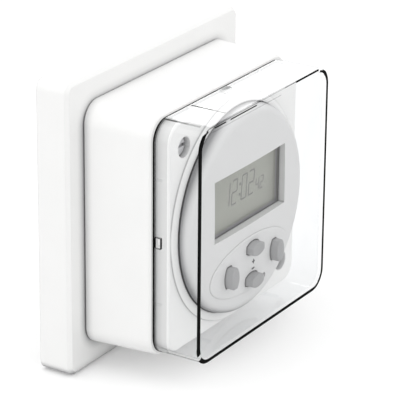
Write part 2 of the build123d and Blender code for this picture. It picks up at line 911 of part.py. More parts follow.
nodes = {
    "wall_plate": wall_plate,
    "front_housing": front_housing,
    "timer_face": timer_face,
    "display_lens": display_lens,
    "display_glass": display_glass,
    "display_holder": display_holder,
    "contact_strips": contact_strips,
    "key_switches": key_switches,
    "reset_button": reset_button,
    "control_board": control_board,
    "module_case": module_case,
    "module_screws": module_screws,
    "controller_chip": controller_chip,
    "clock_crystal": clock_crystal,
    "backup_battery": backup_battery,
    "battery_clip": battery_clip,
    "board_link": board_link,
    "power_board": power_board,
    "power_board_screws": power_board_screws,
    "relay": relay,
    "dropper_capacitor": dropper_capacitor,
    "smoothing_capacitors": smoothing_capacitors,
    "surge_limiter": surge_limiter,
    "fuse": fuse,
    "contact_blades": contact_blades,
    "terminal_block": terminal_block,
    "terminal_cages": terminal_cages,
    "terminal_screws": terminal_screws,
    "terminal_block_screws": terminal_block_screws,
    "threaded_inserts": threaded_inserts,
    "face_screws": face_screws,
    "clear_cover": clear_cover,
}

for node, build in nodes.items():
    export_step(build(), f"parts/{node}.step")

for key in key_places:
    export_step(key_cap(key), f"parts/{key}_key.step")
    export_step(key_plunger(key), f"parts/{key}_plunger.step")
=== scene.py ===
import json
import math

import bmesh
import bpy
from mathutils import Matrix, Vector


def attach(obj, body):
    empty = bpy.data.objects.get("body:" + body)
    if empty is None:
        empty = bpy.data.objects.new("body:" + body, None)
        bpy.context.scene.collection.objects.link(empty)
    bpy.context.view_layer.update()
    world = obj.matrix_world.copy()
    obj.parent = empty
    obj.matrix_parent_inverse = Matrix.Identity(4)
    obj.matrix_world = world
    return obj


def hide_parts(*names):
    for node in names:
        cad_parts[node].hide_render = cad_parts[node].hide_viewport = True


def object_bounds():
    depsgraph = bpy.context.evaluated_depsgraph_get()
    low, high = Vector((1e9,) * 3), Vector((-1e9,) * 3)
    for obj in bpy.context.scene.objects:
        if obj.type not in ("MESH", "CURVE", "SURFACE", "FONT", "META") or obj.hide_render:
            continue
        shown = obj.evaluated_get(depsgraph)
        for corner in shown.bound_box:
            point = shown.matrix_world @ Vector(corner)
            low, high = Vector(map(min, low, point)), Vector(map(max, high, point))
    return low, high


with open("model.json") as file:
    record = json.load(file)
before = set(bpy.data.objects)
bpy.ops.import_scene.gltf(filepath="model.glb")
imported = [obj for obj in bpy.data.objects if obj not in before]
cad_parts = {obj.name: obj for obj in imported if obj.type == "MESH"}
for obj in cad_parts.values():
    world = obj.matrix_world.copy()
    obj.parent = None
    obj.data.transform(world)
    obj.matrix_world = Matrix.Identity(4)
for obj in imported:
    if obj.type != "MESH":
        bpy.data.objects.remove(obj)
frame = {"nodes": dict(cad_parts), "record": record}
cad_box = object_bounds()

MM = 0.001
merge_metres = 1e-7

# All sizes are in millimetres, as in the CAD model. A depth is the distance out from the wall.

# The round timer face with its screw posts, window and pad
timer_front, timer_inner, timer_back = 41.6, 39.6, 35.4
timer_radius, timer_inner_radius = 30.1, 28.04
timer_edge_round, timer_skirt_cut, timer_crown = 3.0, 0.15, 0.35
timer_flat_radius = timer_radius - timer_edge_round
timer_edge_depth = timer_front - timer_crown
post_back, post_radius, post_reach, post_overlap = 31.6, 2.3, 23.44, 0.5
post_angles = [57.7, 122.3, -27.9, 207.9]
window_width, window_height, window_z = 37.3, 18.1, 5.15
pad_half_width, pad_half_height, pad_z = 20.5, 8.3, -15.9
pad_height, pad_sunk, pad_edge = 0.3, 0.25, 0.5
cutter_back, cutter_front = 38.0, 45.0

# The skirt is painted dark, as painted shade, where the narrow gap round the face is, but not at the top,
# where light falls in
gap_line_front, gap_shade_top, skirt_margin = 37.65, 22.5, 0.1

# The keys and the reset hole
key_length, key_middle, key_end, key_corner, key_corner_least = 6.2, 3.9, 1.9, 0.25, 0.05
key_front, key_gap, key_flange_front, key_flange = 44.4, 0.25, 39.3, 0.8
key_edge, key_edge_share, key_crown, key_flange_reach = 0.35, 0.84, 0.08, 0.35
key_stem_radius, plunger_front = 1.5, 36.0
key_places = {
    "left": (-11.4, -16.2), "right": (12.8, -16.2), "upper": (0.7, -11.35), "lower": (0.7, -21.05),
}
reset_x, reset_z, reset_hole_radius = 7.8, -22.6, 0.9

# The printed marks between the keys
print_sunk, print_thick, print_gap = 0.02, 0.03, 0.01
plus_x, plus_z, plus_width = 1.5, -15.9, 1.4
minus_x, minus_z, minus_width = 1.4, -18.0, 1.3
mark_stroke, marks_middle_z = 0.4, -16.1

# The display: its digits, each size of them with a width, height, stroke and pitch, and its edges, a black
# line and a grey band of painted shade round the window
glass_front = 38.6
digits_x, digits_z, digit_lean, segment_end_share = -9.3, 2.6, 0.1, 0.6
large_digit, small_digit = (2.6, 7.0, 0.4, 3.9), (1.5, 3.6, 0.3, 2.4)
colon_heights, colon_dot, colon_pitch = (4.5, 7.5), 0.7, 1.2
border_inner, border_outer, border_front = (-0.7, -0.6), (-0.02, -0.02), 0.03
shade_band_inner, shade_band_outer, shade_band_front = (-1.0, -0.8), (0.8, 0.8), 0.02

# The clear cover
cover_side, cover_inner_side, cover_corner_radius, corner_least = 68.8, 66.8, 6.0, 0.5
cover_back, cover_front, cover_pane = 31.6, 46.2, 1.2
cover_round, cover_inner_round, cover_back_cut = 0.5, 0.5, 0.15
cover_wall = (cover_side - cover_inner_side) / 2
cover_reach = cover_side / 2 - cover_corner_radius
cover_arc = cover_corner_radius * math.pi / 2
cover_lap = 2 * cover_reach + cover_arc
catch_window_width, catch_window_back, catch_window_front, catch_cutter = 3.2, 32.1, 34.1, 3.0
guide_offset, guide_lengths, guide_width, guide_height, guide_sunk = 18.2, (9.0, 2.4), 0.5, 0.9, 0.25

# Where the cover's faces are divided: its walls out from the back edge, its pane in from the side
wall_stops = [cover_back_cut, 0.6, 1.1, 1.6, 4.7, 8.0, 12.0]
pane_stops = [0.62, 1.0, 1.15, 1.3, 1.45, 1.6, 1.66, 1.82, 3.0]
edge_turns = [0, 15, 30, 40, 50, 60, 75, 90]

# How dark the cover's edges are painted, as painted shade: a clear moulding's rims carry no light to the eye,
# and the narrow gap behind the left wall lies in shade.
# The way round starts at the middle of the left side and runs up and clockwise, in millimetres.
# Each front line: way from and to, inset from and to, darkness.
front_lines = [
    (-30.8, 32.0, 0.1, 1.6, 1.0),
    (32.0, 33.6, 0.1, 1.45, 1.0),
    (33.6, 34.8, 0.18, 1.15, 1.0),
    (34.8, 36.2, 0.34, 1.0, 1.0),
    (35.2, 42.0, 0.18, 0.34, 0.8),
    (39.5, 45.3, 0.62, 1.0, 1.0),
    (42.0, 63.0, 0.18, 0.34, 0.6),
    (47.5, 61.0, 0.62, 1.0, 1.0),
    (38.0, 74.0, 1.66, 1.82, 0.4),
    (63.0, 76.0, 0.18, 0.34, 0.35),
    (76.0, 82.0, 0.18, 0.34, 0.8),
    (82.0, 94.6, 0.1, 0.62, 1.0),
    (95.3, 97.0, 0.62, 1.3, 1.0),
    (97.0, 98.8, 0.34, 1.3, 1.0),
    (98.8, 166.0, 0.05, 1.45, 1.0),
    (166.0, 232.6, 0.03, 1.3, 1.0),
]
# Each back line: way from and to, inset from and to, distance from the back edge from and to, darkness.
back_lines = [
    (-36.0, 94.3, -0.1, 0.1, 0.0, 0.6, 1.0),
    (-36.0, 36.0, -0.1, 0.1, 0.6, 1.1, 0.7),
    (-36.0, 36.0, -0.1, 0.1, 1.1, 1.6, 0.3),
    (-34.0, 36.2, -0.1, 0.1, 1.6, 4.7, 0.17),
    (36.2, 37.1, -0.1, 0.1, 0.6, 4.7, 0.8),
    (36.2, 37.1, -0.1, 0.1, 4.7, 8.0, 0.55),
    (36.2, 37.1, -0.1, 0.1, 8.0, 12.0, 0.35),
    (227.8, 228.8, -0.1, 0.1, 1.6, 14.5, 0.6),
    (48.9, 49.5, -0.1, 0.1, 1.1, 4.7, 1.0),
    (48.9, 49.5, -0.1, 0.1, 4.7, 8.0, 0.8),
    (48.9, 49.5, -0.1, 0.1, 8.0, 12.0, 0.4),
]
# The painted shade of a catch window's ends and long edges, in the top wall and in the others
top_window_shades, other_window_shades = (0.2, 0.1), (0.6, 1.0)
# A window's own faces lie between these insets
window_inset_least, window_inset_most = 0.1, 0.9

# Limits for telling places apart: on a line or not, clear of a corner, longer than a corner's chord,
# and two points in one place
tolerance, corner_margin, chord_limit, same_place = 0.01, 0.05, 1.0, 1e-6


# Small helpers

def point(x, depth, z):
    """A place in the frame, in metres, from millimetres."""
    return Vector((x * MM, -depth * MM, z * MM))


def new_object(name, mesh, material=None):
    piece = bpy.data.objects.new(name, mesh)
    bpy.context.scene.collection.objects.link(piece)
    if material:
        mesh.materials.append(material)
    return piece


def smooth(form, sharp):
    """Shade a bmesh smooth, apart from edges over an angle in degrees."""
    limit = math.radians(sharp)
    for face in form.faces:
        face.smooth = True
    for edge in form.edges:
        edge.smooth = not (edge.is_manifold and edge.calc_face_angle(0) > limit)


def from_bmesh(name, form, material=None, sharp=35.0):
    """Turn a bmesh into an object."""
    bmesh.ops.remove_doubles(form, verts=form.verts, dist=merge_metres)
    bmesh.ops.recalc_face_normals(form, faces=form.faces)
    smooth(form, sharp)
    mesh = bpy.data.meshes.new(name)
    form.to_mesh(mesh)
    form.free()
    return new_object(name, mesh, material)


def apply_modifiers(piece):
    """Bake the piece's modifiers into its mesh."""
    graph = bpy.context.evaluated_depsgraph_get()
    mesh = bpy.data.meshes.new_from_object(piece.evaluated_get(graph))
    old = piece.data
    piece.modifiers.clear()
    piece.data = mesh
    mesh.name = piece.name
    bpy.data.meshes.remove(old)


def cut(piece, cutters):
    """Take the cutters out of a piece, then delete them."""
    for cutter in cutters:
        change = piece.modifiers.new("cut", "BOOLEAN")
        change.operation = "DIFFERENCE"
        change.solver = "EXACT"
        change.object = cutter
    apply_modifiers(piece)
    for cutter in cutters:
        bpy.data.objects.remove(cutter, do_unlink=True)


def even_normals(piece, sharp=35.0):
    """Smooth shading that keeps flat faces flat."""
    form = bmesh.new()
    form.from_mesh(piece.data)
    smooth(form, sharp)
    form.to_mesh(piece.data)
    form.free()
    change = piece.modifiers.new("normals", "WEIGHTED_NORMAL")
    change.keep_sharp = True
    change.weight = 80
    apply_modifiers(piece)


def loft(form, rings, close_end=True):
    """Skin closed rings of equal length, with a face on the first and, if asked, on the last."""
    loops = [[form.verts.new(place) for place in ring] for ring in rings]
    for one, two in zip(loops, loops[1:]):
        for i in range(len(one)):
            j = (i + 1) % len(one)
            form.faces.new((one[i], one[j], two[j], two[i]))
    form.faces.new(loops[0][::-1])
    if close_end:
        form.faces.new(loops[-1])
    return loops


def ring_at(outline, depth):
    """An outline's places at one depth."""
    return [point(x, depth, z) for x, z in outline]


def extrude(form, outline, depths):
    """Skin one outline from depth to depth."""
    loft(form, [ring_at(outline, depth) for depth in depths])


def prism(name, outline, back, front):
    """A plain prism between two depths, used to cut with."""
    form = bmesh.new()
    extrude(form, outline, (back, front))
    return from_bmesh(name, form)


def circle(radius, steps, x=0, z=0):
    """Points round a circle."""
    turns = [2 * math.pi * i / steps for i in range(steps)]
    return [(x + radius * math.cos(turn), z + radius * math.sin(turn)) for turn in turns]


def rectangle(width, height, x=0, z=0):
    """The corners of a rectangle, from its middle."""
    return [(x + sx * width / 2, z + sz * height / 2) for sx, sz in ((1, 1), (-1, 1), (-1, -1), (1, -1))]


def rounded_square(side, corner, steps=12):
    """Points round a square with rounded corners."""
    reach = side / 2 - corner
    points = []
    for turn, (sx, sz) in enumerate([(1, 1), (-1, 1), (-1, -1), (1, -1)]):
        for i in range(steps + 1):
            angle = math.radians(90 * (turn + i / steps))
            points.append((sx * reach + corner * math.cos(angle), sz * reach + corner * math.sin(angle)))
    return points


def quarter_turns(outline, count):
    """An outline turned round the middle by a number of quarter turns."""
    for _ in range(count):
        outline = [(-z, x) for x, z in outline]
    return outline


# Materials

# The scale of tones and haze over a metre, the relief of the grain in metres, and how far gloss varies
tone_scale, haze_scale, grain_relief, gloss_spread = 90.0, 60.0, 0.0001, 0.05
# The black of the painted shade on the cover's rims
rim_shade_black = (0.002, 0.002, 0.002, 1)


def node(tree, kind, **values):
    """A new shader node with some of its sockets or settings given."""
    made = tree.nodes.new(kind)
    for name, value in values.items():
        if name in made.inputs.keys():
            made.inputs[name].default_value = value
        else:
            setattr(made, name, value)
    return made


def map_range(tree, value, **ends):
    """A value taken from one range to another, with the ends in words such as from_min."""
    made = node(tree, "ShaderNodeMapRange")
    for name, end in ends.items():
        made.inputs[name.replace("_", " ").title()].default_value = end
    tree.links.new(value, made.inputs["Value"])
    return made.outputs["Result"]


def product(tree, one, two, use_clamp=False):
    """A value times another value or a number."""
    made = node(tree, "ShaderNodeMath", operation="MULTIPLY", use_clamp=use_clamp)
    tree.links.new(one, made.inputs[0])
    if isinstance(two, float):
        made.inputs[1].default_value = two
    else:
        tree.links.new(two, made.inputs[1])
    return made.outputs["Value"]


def contact_shade(tree, place, surface, contact, contact_shade_tint, contact_full, fade):
    """The surface's colour, with painted shade where other surfaces are near."""
    near = node(tree, "ShaderNodeAmbientOcclusion", samples=16)
    near.inputs["Distance"].default_value = contact * MM
    amount = map_range(tree, near.outputs["AO"], from_min=1.0, from_max=contact_full)
    if fade:
        axis, least_at, full_at, least = fade
        parts = node(tree, "ShaderNodeSeparateXYZ")
        tree.links.new(place, parts.inputs["Vector"])
        grow = map_range(tree, parts.outputs[axis], from_min=least_at * MM, from_max=full_at * MM,
                         to_min=least)
        amount = product(tree, amount, grow)
    tint = node(tree, "ShaderNodeMix", data_type="RGBA", blend_type="MULTIPLY")
    tree.links.new(amount, tint.inputs["Factor"])
    tree.links.new(surface, tint.inputs["A"])
    tint.inputs["B"].default_value = (*contact_shade_tint, 1)
    return tint.outputs["Result"]


def plastic(name, color, rough=0.4, mottle=0.02, grain=0.02, grain_size=0.25, metal=0.0, rounding=0.0,
            coat=0.0, contact=0.0, contact_shade_tint=(0.5, 0.5, 0.52), contact_full=0.3, fade=None):
    """A moulded surface: slight tone and gloss variation, a fine grain and softened edges.

    Where contact is set, painted shade darkens corners and gaps closer than that many millimetres.
    A fade gives the axis along which this painted shade grows, where it is least and full, and the least
    share.
    """
    made = bpy.data.materials.new(name)
    made.use_nodes = True
    tree = made.node_tree
    link = tree.links.new
    shader = tree.nodes["Principled BSDF"]
    shader.inputs["Metallic"].default_value = metal
    shader.inputs["Coat Weight"].default_value = coat
    place = node(tree, "ShaderNodeTexCoord").outputs["Object"]
    tone = node(tree, "ShaderNodeTexNoise", Scale=tone_scale, Detail=3.0)
    link(place, tone.inputs["Vector"])
    shade = node(tree, "ShaderNodeValToRGB")
    low, high = shade.color_ramp.elements
    low.color = (*(channel * (1 - mottle) for channel in color), 1)
    high.color = (*(min(channel * (1 + mottle), 1.0) for channel in color), 1)
    low.position, high.position = 0.35, 0.65
    link(tone.outputs["Fac"], shade.inputs["Fac"])
    surface = shade.outputs["Color"]
    if contact:
        surface = contact_shade(tree, place, surface, contact, contact_shade_tint, contact_full, fade)
    link(surface, shader.inputs["Base Color"])
    gloss = map_range(tree, tone.outputs["Fac"], to_min=rough - gloss_spread, to_max=rough + gloss_spread)
    link(gloss, shader.inputs["Roughness"])
    fine = node(tree, "ShaderNodeTexNoise", Scale=1000 / grain_size, Detail=2.0)
    link(place, fine.inputs["Vector"])
    relief = node(tree, "ShaderNodeBump", Strength=grain, Distance=grain_relief)
    link(fine.outputs["Fac"], relief.inputs["Height"])
    if rounding:
        soft = node(tree, "ShaderNodeBevel", Radius=rounding * MM, samples=6)
        link(soft.outputs["Normal"], relief.inputs["Normal"])
    link(relief.outputs["Normal"], shader.inputs["Normal"])
    return made


def clear(name, tint, rough):
    """A thin clear moulding, which shows what is behind it unbent and mirrors more at a flat angle.

    Faces with a rim attribute get painted shade, dark as thick clear rims look.
    """
    made = bpy.data.materials.new(name)
    made.use_nodes = True
    tree = made.node_tree
    link = tree.links.new
    dark = tree.nodes["Principled BSDF"]
    dark.inputs["Base Color"].default_value = rim_shade_black
    dark.inputs["Roughness"].default_value = 0.5
    dark.inputs["Specular IOR Level"].default_value = 0.02
    haze = node(tree, "ShaderNodeTexNoise", Scale=haze_scale, Detail=2.0)
    link(node(tree, "ShaderNodeTexCoord").outputs["Object"], haze.inputs["Vector"])
    mirror = node(tree, "ShaderNodeBsdfGlossy")
    gloss = map_range(tree, haze.outputs["Fac"], to_min=rough * 0.5, to_max=rough * 1.5)
    link(gloss, mirror.inputs["Roughness"])
    through = node(tree, "ShaderNodeBsdfTransparent")
    through.inputs["Color"].default_value = (*tint, 1)
    angle = node(tree, "ShaderNodeFresnel", IOR=1.49)
    outer = node(tree, "ShaderNodeMath", operation="SUBTRACT", use_clamp=True)
    outer.inputs[0].default_value = 1.0
    link(node(tree, "ShaderNodeNewGeometry").outputs["Backfacing"], outer.inputs[1])
    shown = product(tree, angle.outputs["Fac"], outer.outputs["Value"], use_clamp=True)
    pane = node(tree, "ShaderNodeMixShader")
    link(shown, pane.inputs["Fac"])
    link(through.outputs["BSDF"], pane.inputs[1])
    link(mirror.outputs["BSDF"], pane.inputs[2])
    rim = node(tree, "ShaderNodeAttribute", attribute_name="rim")
    both = node(tree, "ShaderNodeMixShader")
    link(rim.outputs["Fac"], both.inputs["Fac"])
    link(pane.outputs["Shader"], both.inputs[1])
    link(dark.outputs["BSDF"], both.inputs[2])
    link(both.outputs["Shader"], tree.nodes["Material Output"].inputs["Surface"])
    return made


# white_shell: painted shade in corners and gaps within 3 mm, least towards the top, where light from above
# falls
white = plastic("white_shell", (0.9, 0.9, 0.893), rough=0.38, mottle=0.006, grain=0.03, rounding=0.5,
                contact=3.0, contact_shade_tint=(0.4, 0.4, 0.41), fade=("Z", 41, 30, 0.12))
# pale_face: painted shade on the face's side and round its base, none on its front
pale = plastic("pale_face", (0.70, 0.70, 0.70), rough=0.5, mottle=0.008, grain=0.06, contact=20.0,
               contact_shade_tint=(0.3, 0.3, 0.31), contact_full=0.68, fade=("Y", -41.5, -40.2, 0.0))
# pale_front: a little painted shade in the small recesses of the face's front
pale_front = plastic("pale_front", (0.70, 0.70, 0.70), rough=0.5, mottle=0.008, grain=0.06, contact=0.6,
                     contact_shade_tint=(0.3, 0.3, 0.3))
# Painted shade: near black for the skirt in the narrow gap round the face
painted_gap_shade = plastic("painted_gap_shade", (0.03, 0.03, 0.033), rough=0.7, mottle=0.1)
# key_plastic: dark painted shade where the keys stand close to other surfaces, as in the gaps round them
key_grey = plastic("key_plastic", (0.34, 0.34, 0.345), rough=0.6, mottle=0.05, grain=0.12, contact=0.6,
                   contact_shade_tint=(0.06, 0.06, 0.065))
# Black print for the plus and minus marks, and the black of the painted shade line round the display window
ink_and_shade_black = plastic("ink_and_shade_black", (0.05, 0.05, 0.055), rough=0.6, mottle=0.1)
segment_ink = plastic("segment_ink", (0.1, 0.1, 0.095), rough=0.5, mottle=0.05)
# Painted shade: the grey of the shaded band on the cell round the display window
shade_band_grey = plastic("shade_band_grey", (0.33, 0.32, 0.35), rough=0.5, mottle=0.05)
cover_clear = clear("clear_cover", (0.985, 0.988, 0.99), rough=0.015)
finishes = {
    "white_shell": white,
    "pale_face": pale,
    "key_plastic": key_grey,
    "clear_cover": cover_clear,
    "clear_lens": clear("clear_lens", (0.98, 0.985, 0.975), rough=0.03),
    "black_plastic": plastic("black_plastic", (0.03, 0.03, 0.033), rough=0.45, mottle=0.1),
    # display_cell: purple-grey painted shade near the window's edges
    "display_cell": plastic("display_cell", (0.28, 0.285, 0.245), rough=0.3, mottle=0.04, grain=0.01,
                            contact=0.6, contact_shade_tint=(0.8, 0.78, 0.84)),
    "plunger_plastic": plastic("plunger_plastic", (0.6, 0.59, 0.54), rough=0.4),
    "case_plastic": plastic("case_plastic", (0.5, 0.5, 0.49), rough=0.5, rounding=0.3),
    "contact_rubber": plastic("contact_rubber", (0.2, 0.18, 0.15), rough=0.8, mottle=0.3),
    "board": plastic("board", (0.03, 0.16, 0.07), rough=0.35, mottle=0.12, grain=0.08, coat=0.3),
    "relay_plastic": plastic("relay_plastic", (0.03, 0.07, 0.25), rough=0.3, mottle=0.04),
    "film_box": plastic("film_box", (0.55, 0.35, 0.04), rough=0.4, mottle=0.05),
    "can_metal": plastic("can_metal", (0.55, 0.55, 0.57), rough=0.3, metal=1.0),
    "limiter_coat": plastic("limiter_coat", (0.03, 0.09, 0.3), rough=0.25, mottle=0.06),
    "fuse_plastic": plastic("fuse_plastic", (0.12, 0.05, 0.03), rough=0.5, mottle=0.06),
    "terminal_plastic": plastic("terminal_plastic", (0.62, 0.62, 0.58), rough=0.5, rounding=0.2),
    "brass": plastic("brass", (0.72, 0.52, 0.22), rough=0.25, metal=1.0, mottle=0.05),
    "steel": plastic("steel", (0.8, 0.8, 0.81), rough=0.55, metal=1.0, mottle=0.04),
}
own_finishes = {
    "face_screws": plastic("dull_zinc", (0.6, 0.6, 0.61), rough=0.55, metal=0.3, mottle=0.03),
    "display_holder": plastic("holder_grey", (0.25, 0.25, 0.22), rough=0.5, mottle=0.05),
}

slot_of = {entry["node"]: entry["material_slot"] for entry in frame["record"]["subparts"]}
for name, shown in frame["nodes"].items():
    finish = own_finishes.get(name, finishes[slot_of[name]])
    shown.data.materials.clear()
    shown.data.materials.append(finish)


# The round timer face, domed a little, with its pad, window and key openings

def front_depth(x, z):
    """The depth of the domed front at a place."""
    dome = 2 * timer_crown * (1 - (x * x + z * z) / timer_flat_radius**2)
    return timer_edge_depth + dome


def key_outline(name, grow=0.0, steps=8):
    """A key's barrel outline, with rounded corners, grown all round."""
    half = key_length / 2 + grow
    middle = key_middle / 2 + grow
    end = key_end / 2 + grow
    sag = middle - end
    radius = (half**2 + sag**2) / (2 * sag)
    corner = max(key_corner + grow, key_corner_least)
    tilt = math.asin((half - corner) / (radius - corner))
    centre = ((radius - corner) * math.sin(tilt), middle - radius + (radius - corner) * math.cos(tilt))
    quarter = []
    for i in range(steps + 1):
        angle = tilt * i / steps
        quarter.append((radius * math.sin(angle), middle - radius + radius * math.cos(angle)))
    for i in range(1, steps + 1):
        angle = math.pi / 2 - tilt - (math.pi / 2 - tilt) * i / steps
        quarter.append((centre[0] + corner * math.cos(angle), centre[1] + corner * math.sin(angle)))
    right = quarter + [(u, -v) for u, v in quarter[::-1]]
    places = right + [(-u, v) for u, v in right[::-1]]
    outline = [place for i, place in enumerate(places) if math.dist(place, places[i - 1]) > same_place]
    x, z = key_places[name]
    if name in ("left", "right"):
        return [(x - v, z + u) for u, v in outline]
    return [(x + u, z + v) for u, v in outline]


def opening_cutters():
    """Cutters for the key openings and the reset hole."""
    outlines = {name: key_outline(name, key_gap) for name in key_places}
    outlines["reset"] = circle(reset_hole_radius, steps=32, x=reset_x, z=reset_z)
    return [prism(name + "_cutter", outline, cutter_back, cutter_front) for name, outline in outlines.items()]


def build_timer_face(steps=192, edge_steps=12, front_steps=12):
    """A turned shell: skirt, rounded edge and domed front."""
    profile = [
        (timer_inner_radius, timer_inner), (timer_inner_radius, timer_back),
        (timer_radius - timer_skirt_cut, timer_back), (timer_radius, timer_back + timer_skirt_cut),
        (timer_radius, gap_line_front),
    ]
    for i in range(edge_steps + 1):
        turn = math.pi / 2 * i / edge_steps
        profile.append((timer_flat_radius + timer_edge_round * math.cos(turn),
                        timer_edge_depth - timer_edge_round * (1 - math.sin(turn))))
    for i in range(1, front_steps):
        radius = timer_flat_radius * (1 - i / front_steps)
        profile.append((radius, front_depth(radius, 0)))
    form = bmesh.new()
    loops = loft(form, [ring_at(circle(radius, steps), depth) for radius, depth in profile], close_end=False)
    tip = form.verts.new(point(0, front_depth(0, 0), 0))
    last = loops[-1]
    for i in range(steps):
        form.faces.new((last[i], last[(i + 1) % steps], tip))
    face = from_bmesh("timer_face_shell", form, pale)
    window = rectangle(window_width, window_height, z=window_z)
    cut(face, [prism("window_cutter", window, cutter_back, cutter_front)] + opening_cutters())
    even_normals(face)
    face.data.materials.append(pale_front)
    face.data.materials.append(painted_gap_shade)
    # Faces on the front take pale_front; skirt faces in the gap take the painted gap shade
    for polygon in face.data.polygons:
        radius, depth = math.hypot(polygon.center.x, polygon.center.z) / MM, -polygon.center.y / MM
        in_gap = depth < gap_line_front and polygon.center.z < gap_shade_top * MM
        if radius < timer_flat_radius:
            polygon.material_index = 1
        elif radius > timer_radius - skirt_margin and in_gap:
            polygon.material_index = 2
    return face


def build_pad(steps=128, front_steps=9):
    """The raised oval round the keys, with a soft edge."""
    profile = [
        (0.0, -pad_sunk), (0.0, 0.02), (0.04, 0.12), (0.14, 0.22), (0.3, 0.285), (pad_edge, pad_height),
    ]
    for i in range(1, front_steps):
        profile.append((pad_edge + (pad_half_height - pad_edge) * i / front_steps, pad_height))
    form = bmesh.new()
    rings = []
    for inset, lift in profile:
        half_width, half_height = pad_half_width - inset, pad_half_height - inset
        outline = [(half_width * u, pad_z + half_height * v) for u, v in circle(1, steps)]
        rings.append([point(x, front_depth(x, z) + lift, z) for x, z in outline])
    loft(form, rings)
    pad = from_bmesh("timer_face_pad", form, pale_front, sharp=80)
    cut(pad, opening_cutters())
    even_normals(pad, sharp=60)
    return pad


def build_posts():
    """The four screw posts behind the face."""
    form = bmesh.new()
    for angle in post_angles:
        x = post_reach * math.cos(math.radians(angle))
        z = post_reach * math.sin(math.radians(angle))
        extrude(form, circle(post_radius, steps=24, x=x, z=z), (post_back, timer_inner + post_overlap))
    return from_bmesh("timer_face_posts", form, pale)


for piece in (build_timer_face(), build_pad(), build_posts()):
    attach(piece, "base")
    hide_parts("timer_face")


# The keys: soft barrel caps with a flange and a stem

def build_key(name, edge_steps=5, crown_steps=4):
    form = bmesh.new()
    x, z = key_places[name]
    skirt = key_flange_front - key_flange
    extrude(form, key_outline(name, key_gap + key_flange_reach), (skirt, key_flange_front))
    rings = [ring_at(key_outline(name), depth) for depth in (key_flange_front, key_front - key_edge)]
    for i in range(1, edge_steps + 1):
        turn = math.pi / 2 * i / edge_steps
        outline = key_outline(name, -key_edge * (1 - math.cos(turn)))
        depth = key_front - key_crown - key_edge * (1 - math.sin(turn)) * key_edge_share
        rings.append(ring_at(outline, depth))
    for i in range(1, crown_steps):
        left = 1 - i / crown_steps
        drawn_in = [(x + (u - x) * left, z + (w - z) * left) for u, w in outline]
        rings.append(ring_at(drawn_in, key_front - key_crown * left**2))
    loft(form, rings)
    extrude(form, circle(key_stem_radius, steps=24, x=x, z=z), (plunger_front, skirt))
    return from_bmesh(name + "_key_cap", form, key_grey, sharp=50)


for name in key_places:
    cap = build_key(name)
    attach(cap, name + "_key_body")
    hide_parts(name + "_key")


# Printed plus and minus marks between the keys

def bar(form, x, z, width, height, depth):
    """A flat printed bar."""
    extrude(form, rectangle(width, height, x, z), (depth - print_sunk, depth + print_thick))


def build_marks():
    form = bmesh.new()
    depth = front_depth(plus_x, marks_middle_z) + pad_height
    bar(form, plus_x, plus_z, plus_width, mark_stroke, depth)
    bar(form, plus_x, plus_z, mark_stroke, plus_width, depth)
    bar(form, minus_x, minus_z, minus_width, mark_stroke, depth)
    return from_bmesh("key_marks", form, ink_and_shade_black)


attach(build_marks(), "base")


# The display's reading, in dark segments on the cell, and the thin edges of painted shade round the window

segments = {"0": "abcdef", "1": "bc", "2": "abged", "4": "fgbc"}


def digit(form, sign, x, width, height, stroke, depth):
    """One seven-segment digit, leaning a little, with its lower left corner at x."""
    half = height / 2
    places = {
        "a": (width / 2, height, width, 0), "g": (width / 2, half, width, 0), "d": (width / 2, 0, width, 0),
        "f": (0, half * 1.5, half, 1), "b": (width, half * 1.5, half, 1),
        "e": (0, half / 2, half, 1), "c": (width, half / 2, half, 1),
    }
    for part in segments[sign]:
        u, w, length, upright = places[part]
        length -= stroke * segment_end_share
        corners = rectangle(stroke, length, u, w) if upright else rectangle(length, stroke, u, w)
        leaned = [(x + across + up * digit_lean, digits_z + up) for across, up in corners]
        extrude(form, leaned, (depth, depth + print_thick))


def digit_row(form, signs, x, sizes, depth):
    """Digits side by side. Gives the place after the last."""
    width, height, stroke, pitch = sizes
    for sign in signs:
        digit(form, sign, x, width, height, stroke, depth)
        x += pitch
    return x


def build_digits():
    """Two digits, a colon, two digits and two small ones."""
    form = bmesh.new()
    depth = glass_front + print_gap
    place = digit_row(form, "12", digits_x, large_digit, depth)
    for height in colon_heights:
        bar(form, place + height * digit_lean, height, colon_dot, colon_dot, depth)
    place = digit_row(form, "02", place + colon_pitch, large_digit, depth)
    digit_row(form, "42", place, small_digit, depth)
    return from_bmesh("display_digits", form, segment_ink)


def build_edge(name, inner_grow, outer_grow, back, front, material):
    """A thin frame round the window, given by how far its two edges reach past the window."""
    form = bmesh.new()
    inner, outer = [rectangle(window_width + across, window_height + up, z=window_z)
                    for across, up in (inner_grow, outer_grow)]
    corners = [[form.verts.new(place) for place in ring_at(outline, depth)]
               for outline, depth in ((inner, back), (outer, back), (outer, front), (inner, front))]
    for k, one in enumerate(corners):
        two = corners[(k + 1) % 4]
        for i in range(4):
            j = (i + 1) % 4
            form.faces.new((one[i], one[j], two[j], two[i]))
    return from_bmesh(name, form, material)


display_pieces = [
    build_digits(),
    # The border is a thin black line of painted shade at the foot of the window's walls; the band is grey
    # painted shade on the cell beside it.
    build_edge("display_border", border_inner, border_outer,
               timer_inner + print_gap, timer_inner + border_front, ink_and_shade_black),
    build_edge("display_shade_band", shade_band_inner, shade_band_outer,
               glass_front + print_gap, glass_front + shade_band_front, shade_band_grey),
]
for piece in display_pieces:
    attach(piece, "base")


# The clear cover: thin sides, a thicker pane, rounded front edges, catch windows and guide ribs

def side_place(way):
    """Where a way round cuts the straight part of its side, or nothing at a corner."""
    place = (way + cover_lap / 2) % cover_lap - cover_lap / 2
    return place if abs(place) < cover_reach - corner_margin else None


